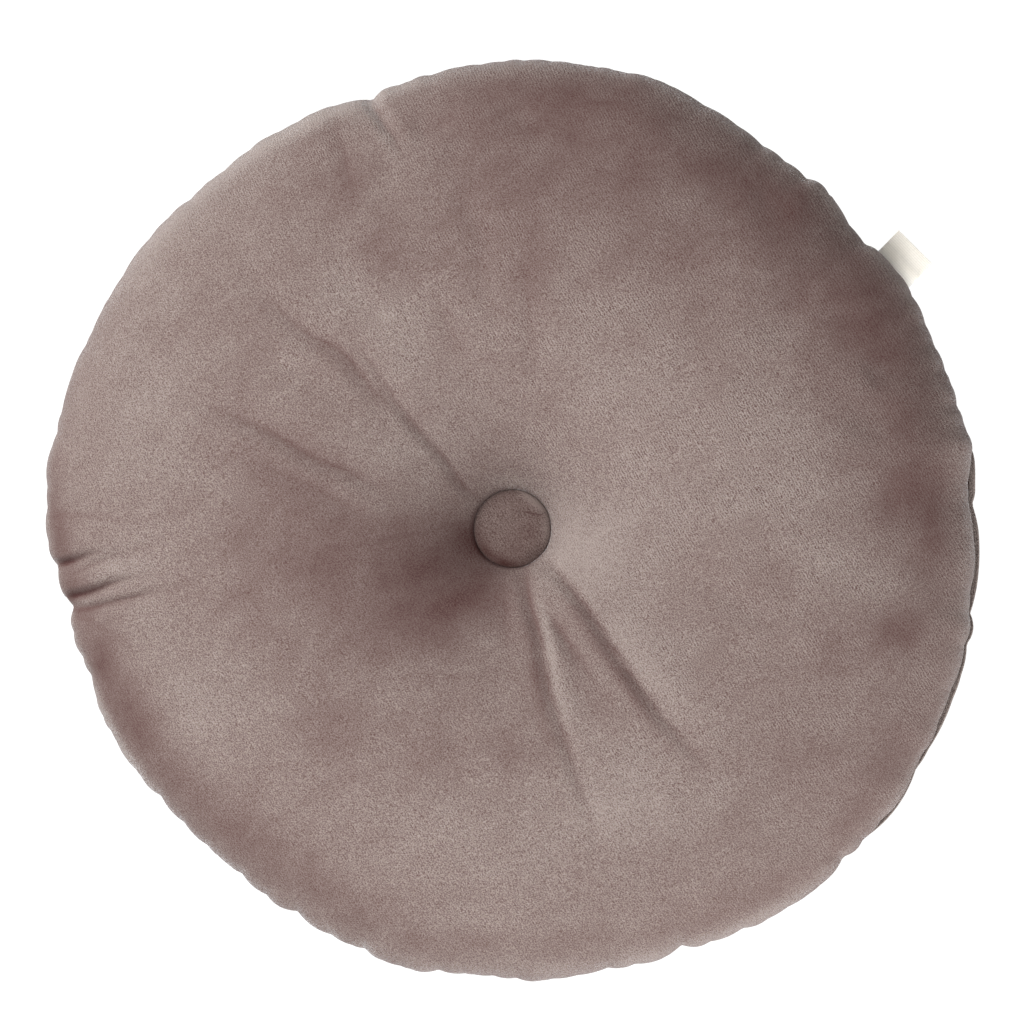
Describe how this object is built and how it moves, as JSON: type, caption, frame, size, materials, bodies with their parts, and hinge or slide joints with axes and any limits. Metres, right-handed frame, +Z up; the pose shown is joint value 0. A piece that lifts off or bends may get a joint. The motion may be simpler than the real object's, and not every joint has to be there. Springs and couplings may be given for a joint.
{
  "type": "round cushion",
  "caption": "Round filled velvet cushion with a plump rolled rim, a deep tufted dimple with a covered button, a puckered seam and a small bare ribbon label.",
  "frame": {"origin": "on the floor plane under the middle of the cushion's outline", "axes": "+Z up through the front face as the cushion lies on its back, +X to the picture's right, +Y to the picture's top"},
  "size_m": [0.4092, 0.4, 0.1054],
  "materials": {
    "velvet": "short-pile velvet, taupe with a rosy cast, soft sheen",
    "button_velvet": "the same velvet pulled tight over a button",
    "ribbon": "cream woven ribbon, satin, bare"
  },
  "bodies": {
    "root": {"cushion": "velvet", "button_front": "button_velvet", "button_back": "button_velvet", "label": "ribbon"}
  },
  "joints": []
}
